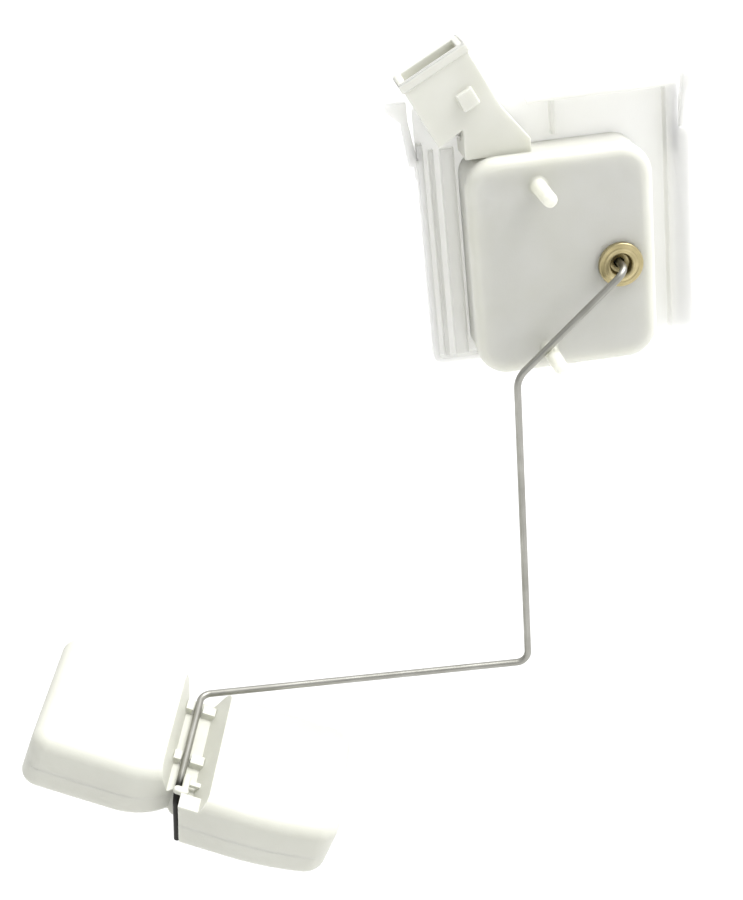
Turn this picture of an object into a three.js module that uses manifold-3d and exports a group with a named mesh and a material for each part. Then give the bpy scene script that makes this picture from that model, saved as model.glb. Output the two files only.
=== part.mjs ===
// Fuel tank level sender: a closed sensor housing on a carrier plate, with a bent wire arm and a float.
// Millimetres. +X is to the right and +Z is up as seen from the cover's side, and the cover faces -Y.
// The origin is the centre of the carrier plate's back face.
import * as THREE from 'three';
import { mergeVertices } from 'three/addons/utils/BufferGeometryUtils.js';
import Module from 'manifold-3d';

const wasm = await Module();
wasm.setup();

// ---- driving dimensions -------------------------------------------------------------------------
const GAP = 0.3;                      // clearance between neighbouring pieces
const PLATE = { width: 68, height: 66, floor: 2, rim: 5.5, corner: 2 };
const PIVOT = { x: 11.5, z: -7.5 };   // the arm's axis, parallel to Y
const HOUSING = { left: -24.8, right: 20.7, bottom: -32.8, top: 21.6, corner: 6.5 };
const BASE = { back: -2.3, front: -14, wall: 1.6, inset: 0.8 };
const COVER = { back: -14.3, face: -19, wall: 1.6, shoulder: 2.6 };
const PEG = { radius: 1.75, length: 14.5 };
const WIRE = { radius: 0.9, plane: -25, sides: 10 };
const LEG_ANGLE = 220.4;              // direction of the arm's first leg at rest, degrees from +X
const ARM_SWING = 83.5;               // how far the arm swings up from rest, degrees
const CORNER_1 = { x: -28.2, z: -24.0 };    // the wire's corners, from the pivot
const CORNER_2 = { x: -30.3, z: -104.3 };
const CORNER_3 = { x: -116.3, z: -99.8 };
const SPINDLE = { length: 36.6, dip: 8.8, yaw: -12.8, tail: 14.6, tailTurn: 9 };
const FLOAT = { left: -37.4, right: 40.3, back: 1.5, leftBack: -1.6, leftFront: 38.5, rightFront: 42.3,
  top: 6.2, bottom: -10.4, parting: -3.5, turn: 25.6, wall: 1.5, corner: 4.5, edge: 2.6 };
const LEFT_SWEEP = { reach: 11, radius: 18 };             // the left lobe's front curves back to the slot
const RIGHT_SWEEP = { from: 16, radius: 80, corner: 6.5 };  // the right lobe's front bows back to its end
const SLOT = { left: -2.6, right: 4.1, flare: 3, floor: -1.35, front: 33.1, toe: -0.7, end: 37.7, lip: 2.8 };
const HOOK = { x: 1.45, radius: 0.85, from: 30.6, to: 37.2, bridgeLeft: -1.3, bridgeRadius: 1.1,
  bottom: 1.2, top: 2.4 };
const CONNECTOR = { x: -29.9, z: 44.8, tilt: 27, width: 17.6, back: -2.4, front: -13.4, wall: 1.6,
  depth: 16, body: 18 };
const CARD = { left: -21, right: 4, bottom: -24, top: 17.5, back: -4.2, front: -5 };
const TRACK = { outer: 19, inner: 14.5, width: 2, back: -5.3, front: -5.6, from: 132, to: 225 };
const TERMINAL = { back: -7.6, front: -8.4, padZ: 14.2, signalX: -18.4, groundX: -11 };

// ---- small tools --------------------------------------------------------------------------------
const radians = THREE.MathUtils.degToRad;

function solidOf(geometry) {
  const bare = geometry.clone();
  bare.deleteAttribute('normal');
  bare.deleteAttribute('uv');
  const merged = mergeVertices(bare, 1e-5);
  const solid = new wasm.Manifold(new wasm.Mesh({
    numProp: 3,
    vertProperties: new Float32Array(merged.attributes.position.array),
    triVerts: new Uint32Array(merged.index.array),
  }));
  return solid;
}

function geometryOf(solid) {
  const mesh = solid.getMesh();
  const geometry = new THREE.BufferGeometry();
  geometry.setAttribute('position', new THREE.BufferAttribute(new Float32Array(mesh.vertProperties), 3));
  geometry.setIndex(new THREE.BufferAttribute(new Uint32Array(mesh.triVerts), 1));
  geometry.computeVertexNormals();
  return geometry;
}

const join = (first, ...rest) => rest.reduce((whole, next) => whole.add(next), first);
const cut = (first, ...rest) => rest.reduce((whole, next) => whole.subtract(next), first);

// a box between two corners
function block(x0, x1, y0, y1, z0, z1) {
  const geometry = new THREE.BoxGeometry(Math.abs(x1 - x0), Math.abs(y1 - y0), Math.abs(z1 - z0));
  geometry.translate((x0 + x1) / 2, (y0 + y1) / 2, (z0 + z1) / 2);
  return solidOf(geometry);
}

// an outline drawn in X and Z, given thickness from y0 (nearer the plate) to y1
function slab(outline, y0, y1, options = {}) {
  const settings = { depth: y0 - y1, bevelEnabled: false, curveSegments: 5, ...options };
  const geometry = new THREE.ExtrudeGeometry(outline, settings);
  geometry.rotateX(Math.PI / 2);
  geometry.translate(0, y0, 0);
  return geometry;
}

function roundedOutline(left, right, bottom, top, r) {
  const outline = new THREE.Shape();
  outline.moveTo(left + r, bottom);
  outline.lineTo(right - r, bottom);
  outline.absarc(right - r, bottom + r, r, -Math.PI / 2, 0, false);
  outline.absarc(right - r, top - r, r, 0, Math.PI / 2, false);
  outline.absarc(left + r, top - r, r, Math.PI / 2, Math.PI, false);
  outline.absarc(left + r, bottom + r, r, Math.PI, Math.PI * 1.5, false);
  return outline;
}

const roundedSlab = (left, right, bottom, top, r, y0, y1) =>
  solidOf(slab(roundedOutline(left, right, bottom, top, r), y0, y1));

const outlineOf = (points) => new THREE.Shape(points.map(([x, z]) => new THREE.Vector2(x, z)));

// a turned piece on an axis parallel to Y; profile points are [radius, y]
function turned(profile, x, z, segments = 20) {
  const geometry = new THREE.LatheGeometry(profile.map(([r, y]) => new THREE.Vector2(r, y)), segments);
  geometry.translate(x, 0, z);
  return solidOf(geometry);
}

// a plain rod along Y
function rod(x, z, r, y0, y1, segments = 16) {
  const [low, high] = [Math.min(y0, y1), Math.max(y0, y1)];
  return turned([[0, low], [r, low], [r, high], [0, high]], x, z, segments);
}

// a ring along Y
function ring(x, z, outer, inner, y0, y1, segments = 20) {
  const [low, high] = [Math.min(y0, y1), Math.max(y0, y1)];
  return turned([[inner, low], [outer, low], [outer, high], [inner, high], [inner, low]], x, z, segments);
}

// a strip of constant width along a bent line in X and Z
function strip(points, width, y0, y1) {
  const pieces = points.slice(1).map(([x1, z1], i) => {
    const [x0, z0] = points[i];
    const length = Math.hypot(x1 - x0, z1 - z0);
    const geometry = new THREE.BoxGeometry(length, Math.abs(y1 - y0), width);
    geometry.rotateY(-Math.atan2(z1 - z0, x1 - x0));
    geometry.translate((x0 + x1) / 2, (y0 + y1) / 2, (z0 + z1) / 2);
    return solidOf(geometry);
  });
  const knees = points.slice(1, -1).map(([x, z]) => rod(x, z, width / 2, y0, y1, 12));
  return join(...pieces, ...knees);
}

// an arc of constant width about the pivot
function arcBand(radius, width, from, to, y0, y1) {
  const outline = new THREE.Shape();
  outline.absarc(PIVOT.x, PIVOT.z, radius + width / 2, radians(from), radians(to), false);
  outline.absarc(PIVOT.x, PIVOT.z, radius - width / 2, radians(to), radians(from), true);
  return solidOf(slab(outline, y0, y1, { curveSegments: 10 }));
}

function fromPivot(radius, angle) {
  return [PIVOT.x + radius * Math.cos(radians(angle)), PIVOT.z + radius * Math.sin(radians(angle))];
}

// a point of the tilted connector: a across its width, s along its axis and out of its mouth
function inConnector(a, s) {
  const turn = radians(CONNECTOR.tilt);
  return [
    CONNECTOR.x + a * Math.cos(turn) - s * Math.sin(turn),
    CONNECTOR.z + a * Math.sin(turn) + s * Math.cos(turn),
  ];
}

// ---- carrier plate ------------------------------------------------------------------------------
const STAKES = [[-17, -25], [14, -26], [-17, 14], [13.5, 14]];
const STAKE = { radius: 1.2, head: 2.2, headBack: -0.1, headFront: -0.8 };

// a sprung finger beside the plate: root on the plate's edge, free end up and out, hooked at the top
const FINGERS = [{ side: -1, edge: -34 }, { side: 1, edge: 30.8 }];

function snapFinger({ side, edge }) {
  const points = [[0, 15], [0, 18.6], [1.4, 18.6], [2.6, 29.5], [6, 32.6], [6, 34.6], [0.9, 34.6],
    [0.9, 30], [-0.6, 20.6], [-0.6, 15]];
  const outline = outlineOf(points.map(([x, z]) => [edge + side * (x + 0.6), z]));
  return solidOf(slab(outline, -1.2, -4.4));
}

function carrierPlate() {
  const halfWidth = PLATE.width / 2;
  const halfHeight = PLATE.height / 2;
  const floor = roundedSlab(-halfWidth, halfWidth, -halfHeight, halfHeight, PLATE.corner, 0, -PLATE.floor);
  const topLip = block(-6.5, halfWidth - 1, -1, -PLATE.rim, halfHeight - 2, halfHeight);
  const rightWall = block(27.6, 29.4, -1, -PLATE.rim, -halfHeight + 1.5, halfHeight - 1);
  const rightFlange = block(27.6, halfWidth, 1.5 - PLATE.rim, -PLATE.rim, -halfHeight + 1.5, halfHeight);
  const leftWall = block(-halfWidth, -halfWidth + 1.5, -1, -PLATE.rim + 0.5, -halfHeight + 1, halfHeight - 9);
  const leftFoot = block(-halfWidth, -21.5, -1, -5, -halfHeight, -halfHeight + 1.6);
  const leftRib = block(-31, -29.8, -1, -3.4, -halfHeight + 1, halfHeight - 11);
  const leftPad = block(-28.2, -24.8, -1, -3.4, -halfHeight + 1, halfHeight - 11);
  const gusset = block(-0.6, 0.6, -1, -4, 22.3, halfHeight - 1);
  const fingerSlots = FINGERS.map(({ side, edge }) =>
    block(edge - side * 0.01, edge + side * 9, 1, -PLATE.rim - 1, 20.6, halfHeight + 3));
  const walls = join(topLip, rightWall, rightFlange, leftWall, leftFoot, leftRib, leftPad, gusset);
  const envelope = roundedSlab(-halfWidth, halfWidth, -halfHeight, halfHeight, PLATE.corner, 0, -PLATE.rim);
  const body = cut(join(floor, walls.intersect(envelope)), ...fingerSlots);
  const holes = STAKES.map(([x, z]) => join(
    rod(x, z, STAKE.radius + GAP, 1, -PLATE.floor - 1),
    rod(x, z, STAKE.head + GAP, 1, STAKE.headFront - GAP),
  ));
  return cut(join(body, ...FINGERS.map(snapFinger)), ...holes);
}

// ---- sensor housing -----------------------------------------------------------------------------
const RIVETS = { signal: [TERMINAL.signalX, TERMINAL.padZ], ground: [TERMINAL.groundX, TERMINAL.padZ] };
const RIVET = { shank: 1, head: 1.9 };

// The two stamped terminals: each has a wide blade in the socket and a bent lead down to its pad.
const TERMINALS = {
  signal: {
    blade: [inConnector(-4, -7.5), inConnector(-4, -15.6)],
    lead: [inConnector(-4, -15), inConnector(-4, -17), [TERMINAL.signalX, 23.5], RIVETS.signal],
    pad: RIVETS.signal,
  },
  ground: {
    blade: [inConnector(4, -7.5), inConnector(4, -15.6)],
    lead: [inConnector(4, -15), inConnector(4, -18.5), [TERMINAL.groundX, 23.5], RIVETS.ground],
    pad: RIVETS.ground,
  },
};
const LEAD_WIDTH = 2.2;
const BLADE_WIDTH = 2.8;

// the passage that a terminal's lead needs, with clearance all round
function leadPassage({ lead }) {
  return strip(lead, LEAD_WIDTH + 2 * GAP, TERMINAL.back + GAP, TERMINAL.front - GAP);
}

function housingBase() {
  const { left, right, bottom, top, corner } = HOUSING;
  const { back, front, wall, inset } = BASE;
  const outer = roundedSlab(left + inset, right - inset, bottom + inset, top - inset, corner - inset, back, front);
  const rim = inset + wall;
  const inner = roundedSlab(left + rim, right - rim, bottom + rim, top - rim, corner - rim, back - wall, front - 1);
  const floorFront = back - wall;
  const boss = rod(PIVOT.x, PIVOT.z, 4.9, back - 0.2, floorFront - 3, 24);
  const bearingSeat = rod(PIVOT.x, PIVOT.z, 3 + GAP, back - 0.9, floorFront - 4, 24);
  const stakes = STAKES.map(([x, z]) => join(
    rod(x, z, STAKE.radius, back - 0.5, STAKE.headFront + 0.2),
    rod(x, z, STAKE.head, STAKE.headBack, STAKE.headFront),
  ));
  const rivetHoles = Object.values(RIVETS).map(([x, z]) => rod(x, z, RIVET.shank + GAP, back + 0.5, back - wall - 1));
  const shell = cut(join(cut(outer, inner), boss), bearingSeat, ...rivetHoles,
    ...Object.values(TERMINALS).map(leadPassage));
  return join(shell, ...stakes);
}

function peg(x, z) {
  const tip = COVER.face - PEG.length;
  const profile = [[0, tip], [PEG.radius * 0.5, tip + 0.15], [PEG.radius * 0.87, tip + 0.75],
    [PEG.radius, tip + 1.6], [PEG.radius + 0.15, COVER.face + 0.6], [0, COVER.face + 0.6]];
  return turned(profile, x, z, 14);
}

function housingCover() {
  const { left, right, bottom, top, corner } = HOUSING;
  const { back, face, wall, shoulder } = COVER;
  const outline = roundedOutline(left + shoulder, right - shoulder, bottom + shoulder, top - shoulder,
    corner - shoulder + 1.5);
  const rounded = solidOf(slab(outline, back, face, {
    depth: back - face - shoulder, bevelEnabled: true, bevelThickness: shoulder, bevelSize: shoulder,
    bevelSegments: 4,
  }));
  const outer = cut(rounded, block(left - 5, right + 5, back, back + 9, bottom - 5, top + 5));
  const inner = roundedSlab(left + 2.6, right - 2.6, bottom + 2.6, top - 2.6, corner - 2, back + 1, face + wall);
  const boss = rod(PIVOT.x, PIVOT.z, 5.4, back - 0.9, face + 0.4, 24);
  const bushHole = rod(PIVOT.x, PIVOT.z, 3.5 + GAP, back + 2, face - 2, 24);
  const stops = PEGS.map(([x, z]) => peg(x, z));
  return join(cut(join(cut(outer, inner), boss), bushHole), ...stops);
}

// The stop pegs stand just outside the arm's first leg at each end of its swing.
function pegBeside(angle, radius, side) {
  const offset = PEG.radius + WIRE.radius + GAP;
  return fromPivot(radius, angle + side * THREE.MathUtils.radToDeg(Math.asin(offset / radius)));
}
const PEGS = [pegBeside(LEG_ANGLE, 27.2, 1), pegBeside(LEG_ANGLE - ARM_SWING, 29, -1)];

// ---- pivot --------------------------------------------------------------------------------------
function pivotBush() {
  const faceBack = COVER.face - GAP;
  const faceFront = faceBack - 1.4;
  return turned([[1.3, faceFront + 2.4], [2.4, faceFront + 2], [2.6, faceFront + 0.6], [3.5, faceFront],
    [5.15, faceFront], [5.5, faceFront + 0.35], [5.5, faceBack], [3.5, faceBack], [3.5, -14.6], [1.3, -14.6],
    [1.3, faceFront + 2.4]], PIVOT.x, PIVOT.z, 28);
}

const rearBearing = () => ring(PIVOT.x, PIVOT.z, 3, 2.1, -3.5, -6.7, 24);
const thrustWasher = () => ring(PIVOT.x, PIVOT.z, 4.2, 1.4, -12.7, -13.3, 24);

function armRetainer() {
  const hoop = ring(PIVOT.x, PIVOT.z, 2.9, 1.3, -13.6, -14.2, 24);
  const [x, z] = fromPivot(2.6, 270);
  return cut(hoop, block(x - 0.5, x + 0.5, -13, -15, z - 2, z + 1.6));
}

function rotor() {
  const hub = rod(PIVOT.x, PIVOT.z, 4.5, -7.2, -12.4, 24);
  const stub = rod(PIVOT.x, PIVOT.z, 1.8, -3.8, -7.6, 20);
  const wireHole = rod(PIVOT.x, PIVOT.z, WIRE.radius + GAP, -6, -13);
  const paddle = strip([fromPivot(1.5, LEG_ANGLE), fromPivot(20, LEG_ANGLE)], 5, -8.3, -10.3);
  return cut(join(hub, stub, paddle), wireHole);
}

// ---- wiper, card and terminals ------------------------------------------------------------------
const wiperSpring = () =>
  strip([fromPivot(5.2, LEG_ANGLE), fromPivot(20.2, LEG_ANGLE)], 3.4, -7.6, -8);

function wiperContact(radius) {
  const [x, z] = fromPivot(radius, LEG_ANGLE);
  return turned([[0, -7.3], [0.9, -7.3], [0.9, -6.4], [0.5, -6], [0, -5.9]], x, z, 12);
}

function resistorCard() {
  const plate = block(CARD.left, CARD.right, CARD.back, CARD.front, CARD.bottom, CARD.top);
  return cut(plate, ...Object.values(RIVETS).map(([x, z]) => rod(x, z, RIVET.shank + GAP, -3, -6)));
}

function withPad(band, [x, z], lead) {
  const pad = rod(x, z, 2.4, TRACK.back, TRACK.front, 16);
  const hole = rod(x, z, RIVET.shank + GAP, TRACK.back + 1, TRACK.front - 1, 16);
  return cut(join(band, pad, lead), hole);
}

function resistorTrack() {
  const { outer, width, from, to, back, front } = TRACK;
  const band = arcBand(outer, width, from, to, back, front);
  const lead = strip([fromPivot(outer, from + 3), [-7, 12], RIVETS.ground], 1.2, back, front);
  return withPad(band, RIVETS.ground, lead);
}

function contactTrack() {
  const { inner, width, from, to, back, front } = TRACK;
  const band = arcBand(inner, width, from, to, back, front);
  const [x, z] = fromPivot(inner, to - 2);
  const lead = strip([[x, z], [x, -22.4], [RIVETS.signal[0], -22.4], RIVETS.signal], 1.2, back, front);
  return withPad(band, RIVETS.signal, lead);
}

function terminal({ blade, lead, pad: [x, z] }) {
  const outer = join(
    strip(blade, BLADE_WIDTH, TERMINAL.back, TERMINAL.front),
    strip(lead, LEAD_WIDTH, TERMINAL.back, TERMINAL.front),
    rod(x, z, 2.5, TERMINAL.back, TERMINAL.front, 16),
  );
  return cut(outer, rod(x, z, RIVET.shank + GAP, -6, -10));
}

const cardRivet = ([x, z]) =>
  turned([[0, -9.5], [1.2, -9.5], [RIVET.head, -8.9], [RIVET.head, -8.7], [RIVET.shank, -8.7],
    [RIVET.shank, -3], [0, -3]], x, z, 14);

// ---- connector ----------------------------------------------------------------------------------
function connectorShroud() {
  const { width, back, front, wall, depth, body } = CONNECTOR;
  const half = width / 2;
  const neckLeft = HOUSING.left + 1.2;
  const neckRight = -7.5;
  const foot = HOUSING.top - BASE.inset + GAP;
  const outline = outlineOf([
    inConnector(half, 0), inConnector(-half, 0), inConnector(-half, -body), [neckLeft, 28.5],
    [neckLeft, foot], [neckRight, foot], [neckRight, 24.5], inConnector(half, -body),
  ]);
  const outer = solidOf(slab(outline, back, front));
  const mouth = outlineOf([
    inConnector(half - wall, 1), inConnector(wall - half, 1),
    inConnector(wall - half, -depth), inConnector(half - wall, -depth),
  ]);
  const socket = solidOf(slab(mouth, back - wall, front + wall));
  const ramp = outlineOf([inConnector(0.8, -9.4), inConnector(5, -9.4), inConnector(5, -13.8),
    inConnector(0.8, -13.8)]);
  const rampSolid = solidOf(slab(ramp, front + 0.4, front - 1.6));
  const collar = outlineOf([
    inConnector(-half - 0.5, -0.2), inConnector(-half - 0.5, -2.2),
    inConnector(half + 0.5, -2.2), inConnector(half + 0.5, -0.2),
  ]);
  const collarSolid = solidOf(slab(collar, back, front - 0.5));
  return cut(join(outer, rampSolid, collarSolid), socket, ...Object.values(TERMINALS).map(leadPassage));
}

// ---- float arm ----------------------------------------------------------------------------------
// A line through corner points with rounded corners, sampled only where it bends.
class BentLine extends THREE.Curve {
  constructor(corners, radii, perBend = 5) {
    super();
    this.stations = [corners[0]];
    corners.slice(1, -1).forEach((corner, i) => this.bend(corners[i], corner, corners[i + 2], radii[i], perBend));
    this.stations.push(corners[corners.length - 1]);
  }

  bend(before, corner, after, radius, count) {
    const inward = before.clone().sub(corner).normalize();
    const outward = after.clone().sub(corner).normalize();
    const half = inward.angleTo(outward) / 2;
    const axis = inward.clone().add(outward).normalize();
    const centre = corner.clone().addScaledVector(axis, radius / Math.sin(half));
    const start = corner.clone().addScaledVector(inward, radius / Math.tan(half)).sub(centre);
    const turn = Math.PI - 2 * half;
    const normal = inward.clone().cross(start).normalize();
    for (let i = 0; i <= count; i += 1) {
      this.stations.push(centre.clone().add(start.clone().applyAxisAngle(normal, turn * i / count)));
    }
  }

  getPoint(t) {
    const place = t * (this.stations.length - 1);
    const i = Math.min(Math.floor(place + 1e-9), this.stations.length - 2);
    return this.stations[i].clone().lerp(this.stations[i + 1], place - i);
  }

  getPointAt(u) {
    return this.getPoint(u);
  }

  getTangentAt(u) {
    const i = Math.round(u * (this.stations.length - 1));
    const before = this.stations[Math.max(i - 1, 0)];
    const after = this.stations[Math.min(i + 1, this.stations.length - 1)];
    const here = this.stations[i];
    const tangent = new THREE.Vector3();
    if (i > 0) tangent.add(here.clone().sub(before).normalize());
    if (i < this.stations.length - 1) tangent.add(after.clone().sub(here).normalize());
    return tangent.normalize();
  }
}

const armPoint = ({ x, z }) => new THREE.Vector3(PIVOT.x + x, WIRE.plane, PIVOT.z + z);
const spindleTurn = new THREE.Euler(radians(SPINDLE.dip), 0, radians(SPINDLE.yaw), 'ZXY');
const spindleStart = armPoint(CORNER_3);
const spindleDirection = new THREE.Vector3(0, -1, 0).applyEuler(spindleTurn);

function floatArm() {
  const spindleEnd = spindleStart.clone().addScaledVector(spindleDirection, SPINDLE.length);
  const tailDown = new THREE.Vector3(0, 0, -1)
    .applyAxisAngle(new THREE.Vector3(0, 1, 0), radians(SPINDLE.tailTurn)).applyEuler(spindleTurn);
  const corners = [
    new THREE.Vector3(PIVOT.x, -7.5, PIVOT.z),
    new THREE.Vector3(PIVOT.x, WIRE.plane, PIVOT.z),
    armPoint(CORNER_1),
    armPoint(CORNER_2),
    spindleStart,
    spindleEnd,
    spindleEnd.clone().addScaledVector(tailDown, SPINDLE.tail),
  ];
  const line = new BentLine(corners, [3.2, 6, 3, 3, 2.4]);
  const section = new THREE.Shape(Array.from({ length: WIRE.sides }, (_, i) => {
    const angle = 2 * Math.PI * i / WIRE.sides;
    return new THREE.Vector2(WIRE.radius * Math.cos(angle), WIRE.radius * Math.sin(angle));
  }));
  const steps = line.stations.length - 1;
  return solidOf(new THREE.ExtrudeGeometry(section, { steps, bevelEnabled: false, extrudePath: line }));
}

// ---- float --------------------------------------------------------------------------------------
// Drawn about the spindle: X across, Y back along the spindle (the front is towards -Y), Z up.
function floatOutline(inset) {
  const { left, right, back, leftBack, leftFront, rightFront, corner } = FLOAT;
  const r = corner - inset;
  const quarter = Math.PI / 2;
  const outline = new THREE.Shape();
  outline.moveTo(left + inset, -leftFront + inset + r);
  outline.absarc(left + inset + r, -leftFront + inset + r, r, Math.PI, 3 * quarter, false);
  const hook = LEFT_SWEEP.radius - inset;
  const hookCentre = LEFT_SWEEP.radius - leftFront;
  const hookEnd = Math.asin((hookCentre + SLOT.front - inset) / hook);
  outline.absarc(SLOT.left - LEFT_SWEEP.reach, hookCentre, hook, -quarter, -hookEnd, false);
  outline.lineTo(SLOT.toe + inset, inset - SLOT.front);
  outline.lineTo(SLOT.toe + inset, inset - rightFront);
  const bow = RIGHT_SWEEP.radius - RIGHT_SWEEP.corner;
  const sweep = Math.asin((right - RIGHT_SWEEP.corner - RIGHT_SWEEP.from) / bow);
  outline.absarc(RIGHT_SWEEP.from, RIGHT_SWEEP.radius - rightFront, RIGHT_SWEEP.radius - inset,
    -quarter, sweep - quarter, false);
  outline.absarc(right - RIGHT_SWEEP.corner, RIGHT_SWEEP.radius - rightFront - bow * Math.cos(sweep),
    RIGHT_SWEEP.corner - inset, sweep - quarter, 0, false);
  outline.absarc(right - inset - r, -back - inset - r, r, 0, quarter, false);
  outline.lineTo(SLOT.left + 1, -back - inset);
  outline.absarc(SLOT.left - inset - r, -leftBack - inset - r, r, 0, quarter, false);
  outline.absarc(left + inset + r, -leftBack - inset - r, r, quarter, 2 * quarter, false);
  return outline;
}

// half of the float's skin: flat at the parting line, with its far edges rounded
function floatHalf(height) {
  const { edge } = FLOAT;
  const geometry = new THREE.ExtrudeGeometry(floatOutline(edge), {
    depth: height - edge, bevelEnabled: true, bevelThickness: edge, bevelSize: edge, bevelSegments: 3,
    curveSegments: 4,
  });
  const below = block(-60, 60, -60, 20, -20, 0);
  return cut(solidOf(geometry), below);
}

// the hollows of the two lobes between two heights, inside walls that leave room for rounded edges
function lobes(z0, z1) {
  const { left, right, back, leftFront, rightFront, wall } = FLOAT;
  const rim = wall + 1.2;
  const besideLeft = SLOT.left - SLOT.flare - wall;
  const besideRight = SLOT.right + SLOT.flare + wall;
  return [
    block(left + rim, besideLeft, -back - rim, 7 - leftFront, z0, z1),
    block(left + rim, SLOT.left - 13, -back - rim, rim - leftFront, z0, z1),
    block(besideRight, right - rim, -back - rim, rim + 4 - rightFront, z0, z1),
    block(besideRight, right - rim - 8, -back - rim, rim + 1 - rightFront, z0, z1),
  ];
}

// the slot between the lobes: flared sides above a floor, from y0 to y1
function slotCut(floor, y0, y1) {
  const { left, right, flare } = SLOT;
  const slope = flare / (FLOAT.top - SLOT.floor);
  const above = FLOAT.top + 5;
  const spread = (z) => slope * (z - SLOT.floor);
  return solidOf(slab(outlineOf([[left - spread(floor), floor], [right + spread(floor), floor],
    [right + spread(above), above], [left - spread(above), above]]), y0, y1));
}

// the notch for the wire's tail: its right side lies along the tail
function tailNotch() {
  const lean = Math.tan(radians(FLOAT.turn - SPINDLE.tailTurn));
  const below = -30;
  const right = (z) => SLOT.right - lean * (z - FLOAT.bottom);
  const peak = FLOAT.bottom + (SLOT.right - SLOT.toe) / lean;
  return solidOf(slab(outlineOf([[SLOT.toe, below], [right(below), below], [SLOT.toe, peak]]),
    -SLOT.front, -FLOAT.rightFront - 5));
}

function floatUpper() {
  const { top, parting, rightFront, wall } = FLOAT;
  const base = parting + GAP / 2;
  const skin = floatHalf(top - base).translate(0, 0, base);
  const saddles = [[4, 7], [22, 25]].map(([from, to]) =>
    cut(block(SLOT.left - 0.5, SLOT.right + 0.5, -from, -to, SLOT.floor - 0.5, 0.6),
      block(-WIRE.radius - GAP, WIRE.radius + GAP, 0, -to - 1, SLOT.floor, 6)));
  const open = cut(skin, slotCut(SLOT.floor, 5, -SLOT.end), slotCut(SLOT.lip, -SLOT.end, -rightFront - 5),
    tailNotch(), ...lobes(base - 1, top - wall));
  return join(open, ...saddles, snapHook());
}

// a flat bar with round ends between two points in X and Y
function roundBar(x0, y0, x1, y1, r, z0, z1) {
  const ends = [[x0, y0], [x1, y1]].map(([x, y]) =>
    wasm.Manifold.cylinder(z1 - z0, r, r, 16).translate(x, y, z0));
  return join(...ends).hull();
}

// the hook that holds the wire down: a post beside the wire, a bar along it and a bridge across it
function snapHook() {
  const { x, radius, from, to, bridgeLeft, bridgeRadius, bottom, top } = HOOK;
  const bar = roundBar(x, -from - radius, x, radius - to, radius, bottom, top);
  const bridge = roundBar(bridgeLeft + bridgeRadius, bridgeRadius - to, x, bridgeRadius - to, bridgeRadius,
    bottom, top);
  const post = block(WIRE.radius + GAP, x + radius, -from - 0.2, -SLOT.front, SLOT.floor - 0.5, bottom + 0.1);
  const web = block(x, SLOT.right + 1.5, -from - 0.6, -SLOT.front, 0.2, bottom + 0.1);
  return join(bar, bridge, post, web);
}

function floatLower() {
  const { bottom, parting, wall } = FLOAT;
  const ceiling = parting - GAP / 2;
  const skin = floatHalf(ceiling - bottom).mirror([0, 0, 1]).translate(0, 0, ceiling);
  return cut(skin, tailNotch(), ...lobes(bottom + wall, ceiling + 1));
}

// ---- assembly -----------------------------------------------------------------------------------
const ACETAL = { color: 0xeeeee6, roughness: 0.42, metalness: 0 };
const FLOAT_PLASTIC = { color: 0xf3f3ef, roughness: 0.5, metalness: 0 };
const BRASS = { color: 0xb08a3c, roughness: 0.35, metalness: 1 };
const TIN = { color: 0xb9b8b2, roughness: 0.35, metalness: 1 };
const STEEL = { color: 0x8c8b80, roughness: 0.38, metalness: 1 };
const BRONZE = { color: 0xb87f4b, roughness: 0.3, metalness: 1 };
const CERAMIC = { color: 0xe8e6df, roughness: 0.6, metalness: 0 };
const RESISTOR_INK = { color: 0x2c2b2b, roughness: 0.7, metalness: 0 };
const SILVER_INK = { color: 0xc8c6bf, roughness: 0.45, metalness: 1 };

function piece(name, solid, look) {
  const mesh = new THREE.Mesh(geometryOf(solid), new THREE.MeshStandardMaterial(look));
  mesh.name = name;
  return mesh;
}

const sender = new THREE.Group();
sender.add(
  piece('carrier_plate', carrierPlate(), ACETAL),
  piece('housing_base', housingBase(), ACETAL),
  piece('housing_cover', housingCover(), ACETAL),
  piece('connector_shroud', connectorShroud(), ACETAL),
  piece('pivot_bush', pivotBush(), BRASS),
  piece('rear_bearing', rearBearing(), BRASS),
  piece('thrust_washer', thrustWasher(), STEEL),
  piece('arm_retainer', armRetainer(), STEEL),
  piece('rotor', rotor(), ACETAL),
  piece('wiper_spring', wiperSpring(), BRONZE),
  piece('wiper_contact_outer', wiperContact(TRACK.outer), BRASS),
  piece('wiper_contact_inner', wiperContact(TRACK.inner), BRASS),
  piece('resistor_card', resistorCard(), CERAMIC),
  piece('resistor_track', resistorTrack(), RESISTOR_INK),
  piece('contact_track', contactTrack(), SILVER_INK),
  piece('terminal_signal', terminal(TERMINALS.signal), TIN),
  piece('terminal_ground', terminal(TERMINALS.ground), TIN),
  piece('card_rivet_signal', cardRivet(RIVETS.signal), BRASS),
  piece('card_rivet_ground', cardRivet(RIVETS.ground), BRASS),
  piece('float_arm', floatArm(), STEEL),
);

const float = new THREE.Group();
float.position.copy(spindleStart);
float.rotation.set(radians(SPINDLE.dip), radians(FLOAT.turn), radians(SPINDLE.yaw), 'ZXY');
float.add(
  piece('float_upper', floatUpper(), FLOAT_PLASTIC),
  piece('float_lower', floatLower(), FLOAT_PLASTIC),
);
sender.add(float);

export default sender;
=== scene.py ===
import math

import bmesh
import bpy
from mathutils import Matrix, Vector


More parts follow.
